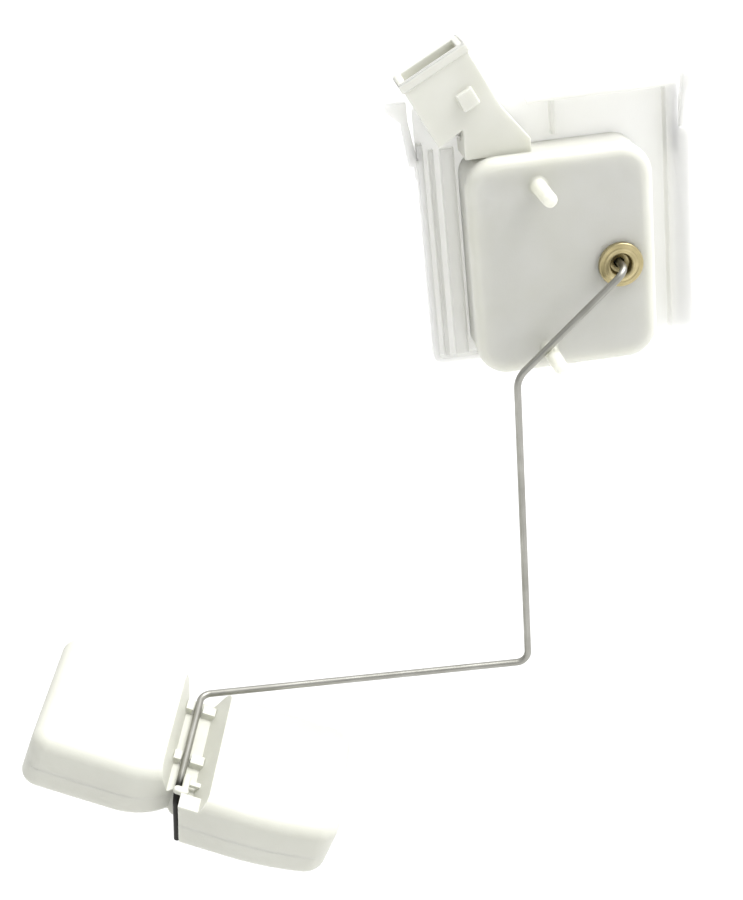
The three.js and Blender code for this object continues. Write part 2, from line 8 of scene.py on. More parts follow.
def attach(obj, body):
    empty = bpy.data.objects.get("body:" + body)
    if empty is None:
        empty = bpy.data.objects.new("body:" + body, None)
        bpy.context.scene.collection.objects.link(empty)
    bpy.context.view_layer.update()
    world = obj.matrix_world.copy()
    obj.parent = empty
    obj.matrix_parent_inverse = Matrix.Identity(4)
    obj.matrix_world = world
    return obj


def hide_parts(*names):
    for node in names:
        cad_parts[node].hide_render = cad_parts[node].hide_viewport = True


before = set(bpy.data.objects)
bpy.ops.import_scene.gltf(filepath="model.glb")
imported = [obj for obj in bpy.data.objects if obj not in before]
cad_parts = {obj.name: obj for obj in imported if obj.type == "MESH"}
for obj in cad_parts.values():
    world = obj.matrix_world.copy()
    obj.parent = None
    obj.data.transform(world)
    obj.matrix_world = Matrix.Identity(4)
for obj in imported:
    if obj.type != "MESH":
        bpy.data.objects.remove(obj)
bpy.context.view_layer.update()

# The looks of a fuel tank level sender: a sensor housing on a carrier plate, a bent wire arm and a float.
# Lengths below are millimetres in the CAD's frame: +X right, +Z up, and the cover faces -Y.
MM = 0.001
GAP = 0.3                             # clearance between neighbouring pieces
FACET_ANGLE = math.radians(32)        # an edge sharper than this is a real edge, not a step of a curve
PIVOT = {"x": 11.5, "z": -7.5}
HOUSING = {"left": -24.8, "right": 20.7, "bottom": -32.8, "top": 21.6}
COVER = {"back": -14.3, "face": -19.0, "wall": 1.6, "rim": 2.6, "corner": 8.0, "shoulder": 2.6}
PEG = {"radius": 1.75, "length": 14.5, "fillet": 0.9, "lower_reach": 27.2, "upper_reach": 29.0, "dome": 1.4}
LEG_ANGLE = 220.4
ARM_SWING = 83.5
WIRE = {"radius": 0.9, "plane": -25.0, "start": -7.5, "sides": 24, "chamfer": 0.22}
WIRE_CORNERS = ((-28.2, -24.0), (-30.3, -104.3), (-116.3, -99.8))
BEND_RADII = (3.2, 6.0, 3.0, 3.0, 2.4)
# the last entry is how far before the tail, in millimetres, the painted shade on the wire begins
SPINDLE = {"length": 36.6, "dip": 8.8, "yaw": -12.8, "tail": 14.6, "tail_turn": 9.0, "painted_shade_lead": 4.5}
FLOAT = {"left": -37.4, "right": 40.3, "back": 1.5, "left_back": -1.6, "left_front": 38.5,
         "right_front": 42.3, "top": 6.2, "bottom": -10.4, "parting": -3.5, "turn": 25.6, "wall": 1.5,
         "corner": 4.5, "seam": 0.002, "top_edge": 3.6, "bottom_edge": 2.8}
LEFT_SWEEP = {"reach": 11.0, "radius": 18.0}                  # the left lobe's front curves back to the slot
RIGHT_SWEEP = {"from": 16.0, "radius": 80.0, "corner": 6.5}   # the right lobe's front bows back to its end
SLOT = {"left": -2.6, "right": 4.1, "flare": 3.0, "floor": -1.35, "front": 33.1, "toe": -0.7, "end": 37.7,
        "lip": 2.8}
HOOK = {"x": 1.45, "radius": 0.85, "from": 30.6, "to": 37.2, "bridge_left": -1.3, "bridge_radius": 1.1,
        "bottom": 1.2, "top": 2.4, "dome": 0.6, "root": 0.5}
SADDLES = {"back": (4, 7), "front": (22, 25), "root": 0.5, "top": 0.6}
TAIL_ROOM = 0.5                       # extra width of the notch beside the wire's tail
CAMERA = {"target": (-53.76, -20.0, -47.33), "azimuth": -4.44, "elevation": 24.07, "roll": 6.09,
          "distance": 424.67, "lens": 68.0}


# ---- mesh tools ---------------------------------------------------------------------------------
def new_object(name, bm):
    """A scene object from a bmesh in metres, with its faces turned outwards."""
    bmesh.ops.recalc_face_normals(bm, faces=bm.faces)
    mesh = bpy.data.meshes.new(name)
    bm.to_mesh(mesh)
    bm.free()
    obj = bpy.data.objects.new(name, mesh)
    bpy.context.scene.collection.objects.link(obj)
    return obj


def loft(name, rings):
    """A closed solid through rings of equally many points, in millimetres."""
    bm = bmesh.new()
    rows = [[bm.verts.new(Vector(p) * MM) for p in ring] for ring in rings]
    for low, high in zip(rows, rows[1:]):
        for i, corner in enumerate(low):
            j = (i + 1) % len(low)
            bm.faces.new((corner, low[j], high[j], high[i]))
    bm.faces.new(rows[0][::-1])
    bm.faces.new(rows[-1])
    return new_object(name, bm)


def turned(name, profile, x, z, segments=48):
    """A turned solid on an axis parallel to Y. Profile points (radius, y) close on themselves or the axis."""
    bm = bmesh.new()
    for (r0, y0), (r1, y1) in zip(profile, profile[1:]):
        for i in range(segments):
            angles = (2 * math.pi * i / segments, 2 * math.pi * (i + 1) / segments)
            corners = [(r, y, a) for r, y, a in (
                (r0, y0, angles[0]), (r0, y0, angles[1]), (r1, y1, angles[1]), (r1, y1, angles[0]))]
            points = []
            for r, y, a in corners:
                point = Vector((x + r * math.cos(a), y, z + r * math.sin(a))) * MM
                if not points or (point - points[-1]).length > 1e-9:
                    points.append(point)
            if (points[0] - points[-1]).length < 1e-9:
                points.pop()
            if len(points) > 2:
                bm.faces.new([bm.verts.new(p) for p in points])
    bmesh.ops.remove_doubles(bm, verts=bm.verts, dist=1e-7)
    return new_object(name, bm)


def rod(name, x, z, radius, y0, y1, segments=40):
    return turned(name, ((0, y0), (radius, y0), (radius, y1), (0, y1)), x, z, segments)


def box(name, x0, x1, y0, y1, z0, z1):
    rectangle = ((x0, y0), (x1, y0), (x1, y1), (x0, y1))
    return loft(name, [[(x, y, z) for x, y in rectangle] for z in (z0, z1)])


def arc(cx, cy, radius, start, end, steps):
    """Points (x, y) of an arc, angles in degrees."""
    angles = [math.radians(start + (end - start) * i / steps) for i in range(steps + 1)]
    return [(cx + radius * math.cos(a), cy + radius * math.sin(a)) for a in angles]


def apply_modifiers(obj):
    depsgraph = bpy.context.evaluated_depsgraph_get()
    mesh = bpy.data.meshes.new_from_object(obj.evaluated_get(depsgraph))
    obj.modifiers.clear()
    obj.data = mesh


def combine(operation, obj, *tools):
    """Joins the tools to obj, or cuts them from it, and removes them."""
    for tool in tools:
        modifier = obj.modifiers.new(tool.name, "BOOLEAN")
        modifier.operation = operation
        modifier.solver = "MANIFOLD"
        modifier.object = tool
    apply_modifiers(obj)
    for tool in tools:
        bpy.data.objects.remove(tool)
    return obj


def join(obj, *tools):
    return combine("UNION", obj, *tools)


def cut(obj, *tools):
    return combine("DIFFERENCE", obj, *tools)


def merge_short_edges(obj, shortest):
    """Removes the slivers that a cut leaves along a curved edge."""
    bm = bmesh.new()
    bm.from_mesh(obj.data)
    bmesh.ops.dissolve_degenerate(bm, edges=bm.edges, dist=shortest * MM)
    bm.to_mesh(obj.data)
    bm.free()


def soften(obj, width, segments=3, fine=None):
    """Gives every real edge a small moulded radius, and shades the curves as curves.

    Edges that pass the test fine get a twentieth of the radius."""
    bm = bmesh.new()
    bm.from_mesh(obj.data)
    bmesh.ops.remove_doubles(bm, verts=bm.verts, dist=2e-6)
    bmesh.ops.dissolve_degenerate(bm, edges=bm.edges, dist=2e-6)
    bmesh.ops.dissolve_limit(bm, angle_limit=math.radians(0.4), verts=bm.verts, edges=bm.edges)
    weights = bm.edges.layers.float.new("bevel_weight_edge")
    for edge in bm.edges:
        if edge.is_manifold and edge.calc_face_angle(0.0) > FACET_ANGLE:
            edge[weights] = 0.05 if fine and fine(edge) else 1.0
    bm.to_mesh(obj.data)
    bm.free()
    add_edge_radius(obj, width, segments, "WEIGHT")
    apply_modifiers(obj)
    return obj


def add_edge_radius(obj, width, segments, limit="ANGLE"):
    bevel = obj.modifiers.new("edge_radius", "BEVEL")
    bevel.width = width * MM
    bevel.segments = segments
    bevel.limit_method = limit
    bevel.angle_limit = FACET_ANGLE
    bevel.use_clamp_overlap = False
    bevel.miter_outer = "MITER_ARC"
    obj.data.shade_smooth()
    normals = obj.modifiers.new("flat_stays_flat", "WEIGHTED_NORMAL")
    normals.weight = 80


def at_height(z):
    """A test for edges that lie at one height, in millimetres."""
    return lambda edge: all(abs(vert.co.z - z * MM) < 1e-6 for vert in edge.verts)


def copy_of(node, name):
    """A new object with the mesh of a CAD node, welded into a closed solid."""
    bm = bmesh.new()
    bm.from_mesh(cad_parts[node].data)
    bmesh.ops.remove_doubles(bm, verts=bm.verts, dist=2e-6)
    return new_object(name, bm)


def place(obj, node, body, slot, material):
    """Puts a finished piece in the place of its CAD node."""
    obj.data.materials.clear()
    obj.data.materials.append(material)
    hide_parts(node)
    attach(obj, body)


# ---- material tools -----------------------------------------------------------------------------
class Look:
    """A material being put together: its Principled shader and the nodes that feed it."""

    def __init__(self, name, **values):
        self.material = bpy.data.materials.new(name)
        self.material.use_nodes = True
        self.tree = self.material.node_tree
        self.shader = self.tree.nodes["Principled BSDF"]
        self.place = self.node("ShaderNodeTexCoord").outputs["Object"]
        self.normal = None
        for socket, value in values.items():
            self.shader.inputs[socket.replace("_", " ")].default_value = value

    def node(self, kind, inputs=(), **settings):
        made = self.tree.nodes.new(kind)
        for name, value in settings.items():
            setattr(made, name, value)
        for key, value in dict(inputs).items():
            if isinstance(value, bpy.types.NodeSocket):
                self.tree.links.new(value, made.inputs[key])
            else:
                made.inputs[key].default_value = value
        return made

    def noise(self, scale, detail=2.0, place=None):
        """Smooth noise from 0 to 1, scale in features per metre."""
        inputs = {"Vector": place or self.place, "Scale": scale, "Detail": detail}
        return self.node("ShaderNodeTexNoise", inputs).outputs["Fac"]

    def cells(self, scale):
        """Distance to the nearest point of a random scatter, scale in cells per metre."""
        inputs = {"Vector": self.place, "Scale": scale}
        return self.node("ShaderNodeTexVoronoi", inputs).outputs["Distance"]

    def math(self, operation, *values):
        return self.node("ShaderNodeMath", dict(enumerate(values)), operation=operation).outputs[0]

    def spread(self, value, low, high, start=0.3, end=0.7):
        """Maps value from start..end to low..high, held at both ends."""
        inputs = {"Value": value, "From Min": start, "From Max": end, "To Min": low, "To Max": high}
        return self.node("ShaderNodeMapRange", inputs).outputs["Result"]

    def blend(self, share, first, second):
        """A colour between two colours, by share from 0 to 1."""
        inputs = {0: share, 6: first, 7: second}
        return self.node("ShaderNodeMix", inputs, data_type="RGBA").outputs[2]

    def bump(self, height, distance):
        """Adds relief, distance in millimetres between low and high."""
        inputs = {"Height": height, "Distance": distance * MM}
        if self.normal:
            inputs["Normal"] = self.normal
        self.normal = self.node("ShaderNodeBump", inputs).outputs["Normal"]

    def edges(self, radius):
        """Near 1 along edges within a radius in millimetres, and 0 on open faces."""
        rounded = self.node("ShaderNodeBevel", {"Radius": radius * MM}, samples=4).outputs["Normal"]
        plain = self.node("ShaderNodeNewGeometry").outputs["Normal"]
        inputs = {0: rounded, 1: plain}
        facing = self.node("ShaderNodeVectorMath", inputs, operation="DOT_PRODUCT").outputs["Value"]
        return self.spread(facing, 1.0, 0.0, start=0.75, end=0.99)

    def finish(self, colour, roughness):
        self.tree.links.new(colour, self.shader.inputs["Base Color"])
        self.tree.links.new(roughness, self.shader.inputs["Roughness"])
        if self.normal:
            self.tree.links.new(self.normal, self.shader.inputs["Normal"])
        return self.material


def grey(level, green=1.0, blue=1.0):
    return (level, level * green, level * blue, 1.0)


def moulded_plastic(name, pale, deep, edge, roughness, scatter, reach):
    """Natural unfilled plastic: slow drift from the melt's flow, faint specks, and a spark-eroded skin."""
    look = Look(name, IOR=1.48, Subsurface_Weight=scatter, Subsurface_Scale=reach)
    look.shader.inputs["Subsurface Radius"].default_value = (1.0, 1.0, 0.95)
    flow = look.noise(55.0, 3.0)
    specks = look.noise(1500.0, 3.0)
    body = look.blend(look.spread(flow, 0.0, 1.0), deep, pale)
    speckled = look.blend(look.spread(specks, 0.0, 0.10, 0.58, 0.74), body, deep)
    colour = look.blend(look.math("MULTIPLY", look.edges(0.5), 0.5), speckled, edge)
    gloss = look.spread(look.noise(260.0, 4.0), roughness - 0.06, roughness + 0.08)
    look.bump(look.noise(90.0, 1.0), 0.05)
    look.bump(look.noise(3800.0, 4.0), 0.012)
    look.bump(look.cells(2300.0), 0.008)
    return look.finish(colour, gloss)


def drawn_steel(painted_shade_start):
    """Stainless spring wire: fine die lines along its length, and a dull oxide that comes and goes.

    Past the start given, in metres along the wire, the colour is painted very dark: painted shade on the last
    bend and the tail, which hang in shade."""
    look = Look("drawn_steel", Metallic=1.0)
    line = look.node("ShaderNodeAttribute", attribute_name="drawn").outputs["Vector"]
    stretched = look.node("ShaderNodeMapping", {"Vector": line, "Scale": (1.0, 1.0, 0.02)})
    die_lines = look.noise(5200.0, 3.0, stretched.outputs["Vector"])
    dull = look.noise(140.0, 4.0)
    bright = look.blend(look.spread(die_lines, 0.0, 1.0), grey(0.34, 0.99, 0.90), grey(0.50, 0.99, 0.92))
    worn = look.blend(look.spread(dull, 0.0, 0.45), bright, grey(0.22, 0.98, 0.84))
    run = look.node("ShaderNodeSeparateXYZ", {0: line}).outputs["Z"]
    # painted shade: from the given start on, the wire is coloured very dark for the shade the bend and tail
    # hang in
    tail = look.spread(run, 0.0, 1.0, painted_shade_start - 0.002, painted_shade_start + 0.002)
    colour = look.blend(tail, worn, grey(0.035, 0.98, 0.90))
    rough = look.math("ADD", look.spread(die_lines, 0.32, 0.44), look.spread(dull, 0.0, 0.12))
    look.bump(die_lines, 0.010)
    look.bump(look.noise(2600.0, 3.0), 0.004)
    return look.finish(colour, rough)


def turned_metal(name, centre, pale, deep, roughness):
    """Metal off the lathe: fine rings about the pivot's axis over a slow tarnish."""
    look = Look(name, Metallic=1.0)
    x, z = centre
    centred = {0: look.place, 1: (x * MM, 0.0, z * MM)}
    middle = look.node("ShaderNodeVectorMath", centred, operation="SUBTRACT")
    parts = look.node("ShaderNodeSeparateXYZ", {0: middle.outputs[0]}).outputs
    squares = look.math("ADD", look.math("POWER", parts["X"], 2.0), look.math("POWER", parts["Z"], 2.0))
    radius = look.math("SQRT", squares)
    ring_place = look.node("ShaderNodeCombineXYZ", {"X": radius, "Y": parts["Y"]}).outputs[0]
    rings = look.noise(5200.0, 2.0, ring_place)
    tarnish = look.noise(330.0, 4.0)
    clean = look.blend(look.spread(rings, 0.0, 1.0), deep, pale)
    colour = look.blend(look.spread(tarnish, 0.0, 0.55), clean, tuple(0.6 * c for c in deep[:3]) + (1.0,))
    rough = look.math("ADD", look.spread(rings, roughness, roughness + 0.10), look.spread(tarnish, 0.0, 0.10))
    look.bump(rings, 0.008)
    return look.finish(colour, rough)


def stamped_metal(name, pale, deep, roughness):
    """Rolled or plated sheet: rolling lines one way, and small dull patches."""
    look = Look(name, Metallic=1.0)
    stretch = {"Vector": look.place, "Scale": (1.0, 1.0, 0.04)}
    rolled = look.node("ShaderNodeMapping", stretch).outputs["Vector"]
    lines = look.noise(3600.0, 2.0, rolled)
    patches = look.noise(420.0, 4.0)
    colour = look.blend(look.spread(patches, 0.0, 1.0), pale, deep)
    rough = look.math("ADD", look.spread(lines, roughness, roughness + 0.12), look.spread(patches, 0.0, 0.08))
    look.bump(lines, 0.004)
    return look.finish(colour, rough)


def fired_ceramic():
    """Alumina card: matt, faintly grainy, with fine pores."""
    look = Look("fired_ceramic", IOR=1.7)
    grain = look.noise(2400.0, 4.0)
    pores = look.spread(look.cells(1700.0), 1.0, 0.0, 0.05, 0.16)
    body = look.blend(look.spread(grain, 0.0, 1.0), grey(0.72, 0.99, 0.94), grey(0.80, 0.99, 0.95))
    colour = look.blend(look.math("MULTIPLY", pores, 0.35), body, grey(0.5))
    look.bump(grain, 0.01)
    return look.finish(colour, look.spread(grain, 0.58, 0.74))


def printed_ink(name, pale, deep, metallic, roughness):
    """Fired thick-film ink: the print screen's weave shows in it, with a sandy grain."""
    look = Look(name, Metallic=metallic)
    grain = look.noise(3200.0, 4.0)
    weave = look.cells(4200.0)
    colour = look.blend(look.spread(grain, 0.0, 1.0), deep, pale)
    look.bump(weave, 0.006)
    look.bump(grain, 0.006)
    return look.finish(colour, look.spread(grain, roughness - 0.08, roughness + 0.1))


# ---- carrier plate, base and connector ----------------------------------------------------------
def carrier_plate(material):
    plate = copy_of("carrier_plate", "carrier_plate_moulding")
    soften(plate, 0.28)
    place(plate, "carrier_plate", "sender_body", "acetal", material)


def housing_base(material):
    base = copy_of("housing_base", "housing_base_moulding")
    soften(base, 0.16)
    place(base, "housing_base", "sender_body", "acetal", material)


def connector_shroud(material):
    shroud = copy_of("connector_shroud", "connector_shroud_moulding")
    soften(shroud, 0.3)
    place(shroud, "connector_shroud", "sender_body", "acetal", material)


# ---- cover --------------------------------------------------------------------------------------
def cover_ring(inset, y, corner=None):
    """The cover's outline, drawn in from its edge, at one depth."""
    left, right = HOUSING["left"] + inset, HOUSING["right"] - inset
    bottom, top = HOUSING["bottom"] + inset, HOUSING["top"] - inset
    r = corner or COVER["corner"] - inset
    corners = ((right - r, bottom + r, -90), (right - r, top - r, 0),
               (left + r, top - r, 90), (left + r, bottom + r, 180))
    return [(x, y, z) for cx, cz, start in corners for x, z in arc(cx, cz, r, start, start + 90, 14)]


def rounded_rings(y_wall, y_face, radius):
    """Rings over an edge that turns from a wall to a face."""
    turns = [math.pi / 2 * i / 10 for i in range(11)]
    toward = math.copysign(radius, y_face - y_wall)
    return [cover_ring(radius * (1 - math.cos(t)), y_face - toward * (1 - math.sin(t)))
            for t in turns]


def from_pivot(radius, angle):
    a = math.radians(angle)
    return PIVOT["x"] + radius * math.cos(a), PIVOT["z"] + radius * math.sin(a)


def peg_places():
    """The stop pegs stand just outside the arm's first leg at each end of its swing."""
    offset = PEG["radius"] + WIRE["radius"] + GAP
    low, high = PEG["lower_reach"], PEG["upper_reach"]
    lower = from_pivot(low, LEG_ANGLE + math.degrees(math.asin(offset / low)))
    upper = from_pivot(high, LEG_ANGLE - ARM_SWING - math.degrees(math.asin(offset / high)))
    return lower, upper


def peg(name, x, z):
    """A round stop with a filleted foot, a little draft and a domed tip."""
    r, fillet, face = PEG["radius"], PEG["fillet"], COVER["face"]
    tip = face - PEG["length"]
    sunk = face + 0.03
    foot = [(r + 0.15 + fillet * (1 - math.sin(t)), sunk - fillet * (1 - math.cos(t)))
            for t in (math.pi / 2 * i / 6 for i in range(7))]
    dome = [(r * math.cos(t), tip + PEG["dome"] * (1 - math.sin(t)))
            for t in (math.pi / 2 * i / 7 for i in range(8))]
    return turned(name, [(0, face + 0.7), (foot[0][0], face + 0.7)] + foot + dome, x, z, 32)


def housing_cover(material):
    back, face, wall = COVER["back"], COVER["face"], COVER["wall"]
    outer = [cover_ring(0, back)] + rounded_rings(back, face, COVER["shoulder"])
    inner = [cover_ring(COVER["rim"], back + 1, 4.5)] + [cover_ring(COVER["rim"], face + wall, 4.5)]
    cover = cut(loft("housing_cover_moulding", outer), loft("hollow", inner))
    join(cover, rod("boss", PIVOT["x"], PIVOT["z"], 5.4, back - 0.9, face + 0.4))
    cut(cover, rod("bush_hole", PIVOT["x"], PIVOT["z"], 3.8, back + 2, face - 2))
    join(cover, *[peg(f"peg_{i}", x, z) for i, (x, z) in enumerate(peg_places())])
    soften(cover, 0.18)
    place(cover, "housing_cover", "sender_body", "acetal", material)


# ---- pivot bush ---------------------------------------------------------------------------------
def pivot_bush(material):
    """A turned flange bush: a cupped front round the wire, a beaded edge, and a barrel in the cover."""
    back = COVER["face"] - 0.3
    front = back - 1.4
    rim = [(5.5 - 0.35 * (1 - math.sin(t)), front + 0.35 * (1 - math.cos(t)))
           for t in (math.pi / 2 * i / 5 for i in range(6))]
    cup = [(1.3, front + 2.4), (2.3, front + 2.05), (2.55, front + 1.7), (2.65, front + 0.55),
           (2.8, front + 0.25), (3.1, front + 0.05), (3.5, front)]
    lands = [(4.1, front), (4.25, front + 0.12), (4.4, front)]
    barrel = [(5.5, back), (3.5, back), (3.5, -14.9), (3.2, -14.6), (1.3, -14.6), (1.3, front + 2.4)]
    bush = turned("pivot_bush_turned", cup + lands + rim + barrel, PIVOT["x"], PIVOT["z"], 64)
    soften(bush, 0.05, 2)
    place(bush, "pivot_bush", "sender_body", "brass", material)


# ---- wire arm -----------------------------------------------------------------------------------
def spindle_matrix():
    return (Matrix.Rotation(math.radians(SPINDLE["yaw"]), 3, "Z")
            @ Matrix.Rotation(math.radians(SPINDLE["dip"]), 3, "X"))


def wire_corners():
    """The corner points of the wire's centreline, in millimetres."""
    plane = WIRE["plane"]
    turn = spindle_matrix()
    pivot = Vector((PIVOT["x"], plane, PIVOT["z"]))
    flat = [pivot + Vector((x, 0, z)) for x, z in WIRE_CORNERS]
    spindle_end = flat[-1] + turn @ Vector((0, -SPINDLE["length"], 0))
    tail = turn @ (Matrix.Rotation(math.radians(SPINDLE["tail_turn"]), 3, "Y") @ Vector((0, 0, -1)))
    start = Vector((PIVOT["x"], WIRE["start"], PIVOT["z"]))
    return [start, pivot] + flat + [spindle_end, spindle_end + tail * SPINDLE["tail"]]


def bend(before, corner, after, radius, steps=14):
    """Points of the arc that rounds a corner."""
    inward = (before - corner).normalized()
    outward = (after - corner).normalized()
    half = inward.angle(outward) / 2
    centre = corner + (inward + outward).normalized() * (radius / math.sin(half))
    first = corner + inward * (radius / math.tan(half)) - centre
    axis = inward.cross(first).normalized()
    turn = math.pi - 2 * half
    return [centre + Matrix.Rotation(turn * i / steps, 3, axis) @ first for i in range(steps + 1)]


def wire_line():
    corners = wire_corners()
    line = [corners[0]]
    for i, radius in enumerate(BEND_RADII):
        line += bend(corners[i], corners[i + 1], corners[i + 2], radius)
    line.append(corners[-1])
    return with_chamfers(line)


def with_chamfers(line):
    """Stations (point, wire radius) along the line, with a small chamfer at each cut end."""
    full, small = WIRE["radius"], WIRE["radius"] - WIRE["chamfer"]
    first = (line[1] - line[0]).normalized() * WIRE["chamfer"]
    last = (line[-2] - line[-1]).normalized() * WIRE["chamfer"]
    middle = [(p, full) for p in line[1:-1]]
    return ([(line[0], small), (line[0] + first, full)] + middle
            + [(line[-1] + last, full), (line[-1], small)])


def wire_rings(stations):
    """Rings of points round the line, carried along it without twist."""
    points = [p for p, _ in stations]
    side = Vector((1, 0, 0))
    rings = []
    for i, (point, radius) in enumerate(stations):
        along = (points[min(i + 1, len(points) - 1)] - points[max(i - 1, 0)]).normalized()
        side = (side - along * side.dot(along)).normalized()
        up = along.cross(side)
        rings.append([point + (side * math.cos(a) + up * math.sin(a)) * radius
                      for a in (2 * math.pi * k / WIRE["sides"] for k in range(WIRE["sides"]))])
    return rings


def mark_drawn(obj, stations):
    """Stores, at every vertex, its place round and along the wire, in metres, for the die lines."""
    run = 0.0
    places = []
    for i, (point, radius) in enumerate(stations):
        if i:
            run += (point - stations[i - 1][0]).length * MM
        for k in range(WIRE["sides"]):
            angle = 2 * math.pi * k / WIRE["sides"]
            places.append((math.cos(angle) * radius * MM, math.sin(angle) * radius * MM, run))
    attribute = obj.data.attributes.new("drawn", "FLOAT_VECTOR", "POINT")
    for item, value in zip(attribute.data, places):
        item.vector = value


def wire_length(stations):
    """Length in metres, from the first station to the last."""
    points = [p for p, _ in stations]
    return sum((b - a).length for a, b in zip(points, points[1:])) * MM


def float_arm():
    stations = wire_line()
    # the wire is painted very dark from a little before its tail to its end: painted shade
    material = drawn_steel(wire_length(stations) - (SPINDLE["tail"] + SPINDLE["painted_shade_lead"]) * MM)
    wire = loft("float_arm_wire", wire_rings(stations))
    mark_drawn(wire, stations)
    wire.data.shade_smooth()
    normals = wire.modifiers.new("flat_ends", "WEIGHTED_NORMAL")
    normals.weight = 60
    apply_modifiers(wire)
    place(wire, "float_arm", "arm", "steel_wire", material)


# ---- float --------------------------------------------------------------------------------------
# Drawn about the spindle: X across, Y back along the spindle (the front is towards -Y), Z up.
def left_lobe_front(inset):
    left, front = FLOAT["left"], FLOAT["left_front"]
    r = FLOAT["corner"] - inset
    hook = LEFT_SWEEP["radius"] - inset
    hook_y = LEFT_SWEEP["radius"] - front
    hook_end = math.degrees(math.asin((hook_y + SLOT["front"] - inset) / hook))
    return (arc(left + inset + r, inset + r - front, r, 180, 270, 10)
            + arc(SLOT["left"] - LEFT_SWEEP["reach"], hook_y, hook, -90, -hook_end, 14))


def right_lobe_front(inset):
    front = FLOAT["right_front"]
    bow = RIGHT_SWEEP["radius"] - RIGHT_SWEEP["corner"]
    bow_y = RIGHT_SWEEP["radius"] - front
    end_x = FLOAT["right"] - RIGHT_SWEEP["corner"]
    sweep = math.asin((end_x - RIGHT_SWEEP["from"]) / bow)
    end_y = bow_y - bow * math.cos(sweep)
    turn = math.degrees(sweep) - 90
    return (arc(RIGHT_SWEEP["from"], bow_y, RIGHT_SWEEP["radius"] - inset, -90, turn, 10)
            + arc(end_x, end_y, RIGHT_SWEEP["corner"] - inset, turn, 0, 12)[1:])


def float_outline(inset):
    left, right, back, left_back = FLOAT["left"], FLOAT["right"], FLOAT["back"], FLOAT["left_back"]
    r = FLOAT["corner"] - inset
    toe = SLOT["toe"] + inset
    return (
        left_lobe_front(inset)
        + [(toe, inset - SLOT["front"]), (toe, inset - FLOAT["right_front"])]
        + right_lobe_front(inset)
        + arc(right - inset - r, -back - inset - r, r, 0, 90, 10)
        + [(SLOT["left"] + 1, -back - inset)]
        + arc(SLOT["left"] - inset - r, -left_back - inset - r, r, 0, 90, 10)
        + arc(left + inset + r, -left_back - inset - r, r, 90, 180, 10)
    )


def float_half(name, seam, far, edge):
    """Half of the float's skin, flat at the seam, with its far edge rounded."""
    rise = math.copysign(edge, far - seam)
    turns = [math.pi / 2 * i / 10 for i in range(11)]
    levels = [(0.0, seam)] + [(edge * (1 - math.cos(t)), far - rise * (1 - math.sin(t))) for t in turns]
    return loft(name, [[(x, y, z) for x, y in float_outline(inset)] for inset, z in levels])


def hollows(z0, z1):
    """The air spaces in the two lobes."""
    left, right, back = FLOAT["left"], FLOAT["right"], FLOAT["back"]
    left_front, right_front, wall = FLOAT["left_front"], FLOAT["right_front"], FLOAT["wall"]
    rim = wall + 1.2
    beside_left = SLOT["left"] - SLOT["flare"] - wall
    beside_right = SLOT["right"] + SLOT["flare"] + wall
    lobes = (
        (left + rim, beside_left, 8.5 - left_front),
        (left + rim, SLOT["left"] - 13, rim - left_front),
        (beside_right, right - rim, rim + 4 - right_front),
        (beside_right, right - rim - 8, rim + 1 - right_front),
    )
    return [box(f"hollow_{i}", x0, x1, y0, -back - rim, z0, z1) for i, (x0, x1, y0) in enumerate(lobes)]


def slab(name, outline, y0, y1):
    """A slab between y0 and y1. Its outline (x, z) runs counter-clockwise seen from the front."""
    return loft(name, [[(x, y, z) for x, z in outline] for y in (y1, y0)])


def slot_cut(name, floor, y0, y1):
    """The slot between the lobes: flared sides above a floor."""
    left, right, above = SLOT["left"], SLOT["right"], FLOAT["top"] + 5
    slope = SLOT["flare"] / (FLOAT["top"] - SLOT["floor"])
    low, high = (slope * (z - SLOT["floor"]) for z in (floor, above))
    outline = ((left - low, floor), (right + low, floor), (right + high, above), (left - high, above))
    return slab(name, outline, y0, y1)


def tail_notch():
    """The notch for the wire's tail. Its right side lies along the tail."""
    lean = math.tan(math.radians(FLOAT["turn"] - SPINDLE["tail_turn"]))
    toe, below = SLOT["toe"], -30
    foot = SLOT["right"] + TAIL_ROOM
    right = foot - lean * (below - FLOAT["bottom"])
    peak = FLOAT["bottom"] + (foot - toe) / lean
    outline = ((toe, below), (right, below), (toe, peak))
    return slab("notch", outline, -FLOAT["right_front"] - 5, -SLOT["front"])


def saddle(name, start, end):
    """A low bridge across the slot that the wire lies in."""
    wide = WIRE["radius"] + GAP
    root = SADDLES["root"]
    block = box(name, SLOT["left"] - root, SLOT["right"] + root, -end, -start, SLOT["floor"] - root,
                SADDLES["top"])
    return cut(block, box("trough", -wide, wide, -end - 1, 0, SLOT["floor"], 6))


def bar_ring(start, end, radius, z):
    """The outline, at one height, of a bar with round ends between two points (x, y)."""
    heading = math.degrees(math.atan2(end[1] - start[1], end[0] - start[0]))
    far = arc(*end, radius, heading - 90, heading + 90, 12)
    near = arc(*start, radius, heading + 90, heading + 270, 12)
    return [(x, y, z) for x, y in far + near]


def domed_bar(name, start, end, radius):
    dome, top = HOOK["dome"], HOOK["top"]
    turns = [math.pi / 2 * i / 6 for i in range(7)]
    rings = [bar_ring(start, end, radius, HOOK["bottom"])]
    rings += [bar_ring(start, end, radius - dome * (1 - math.cos(t)), top - dome * (1 - math.sin(t)))
              for t in turns]
    return loft(name, rings)


